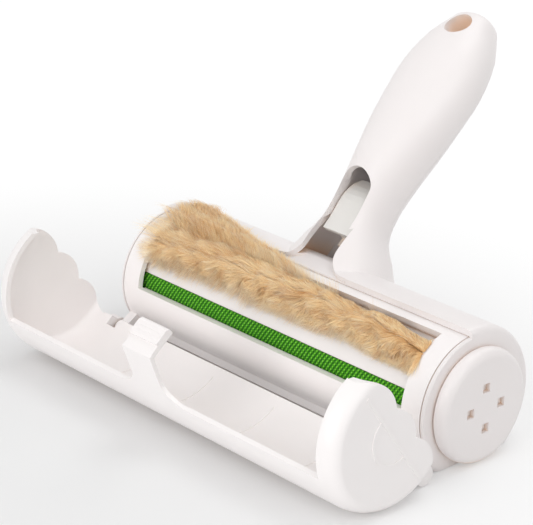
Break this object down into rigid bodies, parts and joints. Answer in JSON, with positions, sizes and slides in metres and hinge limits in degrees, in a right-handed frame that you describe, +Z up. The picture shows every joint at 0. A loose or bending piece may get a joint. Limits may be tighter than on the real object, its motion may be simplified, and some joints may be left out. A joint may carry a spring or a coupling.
{
  "type": "pet hair removal brush",
  "caption": "Roller brush that lifts pet hair: a rocking drum with velvet strips between end wheels, an open hinged dust lid with a latch tongue, and a hollow handle with a release lever.",
  "frame": {"origin": "centre of the base rectangle of the overall box, on the floor that the wheels and the open lid rest on", "axes": "+X along the head's axis, +Y from the open lid towards the handle, +Z up"},
  "size_m": [0.1976, 0.1824, 0.1356],
  "materials": {
    "shell": "smooth white moulding with a soft sheen",
    "drum": "smooth white moulding",
    "wheel": "smooth white moulding",
    "lever": "smooth white moulding",
    "velvet": "short green directional pile",
    "wiper": "soft matte strip",
    "steel": "plain steel",
    "hair": "loose golden fur"
  },
  "bodies": {
    "frame": {"main_housing": "shell", "front_frame": "shell", "handle_back_shell": "shell", "front_wiper": "wiper", "rear_wiper": "wiper", "left_hinge_pin": "steel", "right_hinge_pin": "steel", "lever_pin": "steel", "lever_spring": "steel", "upper_screw": "steel", "lower_screw": "steel", "pet_hair": "hair"},
    "lid": {"lid": "shell"},
    "drum": {"drum_tube": "drum", "left_drum_end": "drum", "right_drum_end": "drum", "front_velvet": "velvet", "rear_velvet": "velvet", "left_wheel": "wheel", "right_wheel": "wheel"},
    "lever": {"release_lever": "lever"}
  },
  "joints": [
    {"name": "lid_hinge", "type": "hinge", "parent": "frame", "child": "lid", "pos_m": [0, -0.03263, 0.00427], "axis": [1, 0, 0], "range_deg": [-101, 0], "deforming": ["pet_hair"]},
    {"name": "drum_rock", "type": "hinge", "parent": "frame", "child": "drum", "pos_m": [0, -0.0034, 0.0224], "axis": [1, 0, 0], "range_deg": [-30, 30]},
    {"name": "lever_press", "type": "hinge", "parent": "frame", "child": "lever", "pos_m": [0, 0.02454, 0.04312], "axis": [-1, 0, 0], "range_deg": [0, 7.5], "stiffness_Nm_per_rad": 0.2, "springref_deg": -5.73, "deforming": ["lever_spring"]}
  ]
}
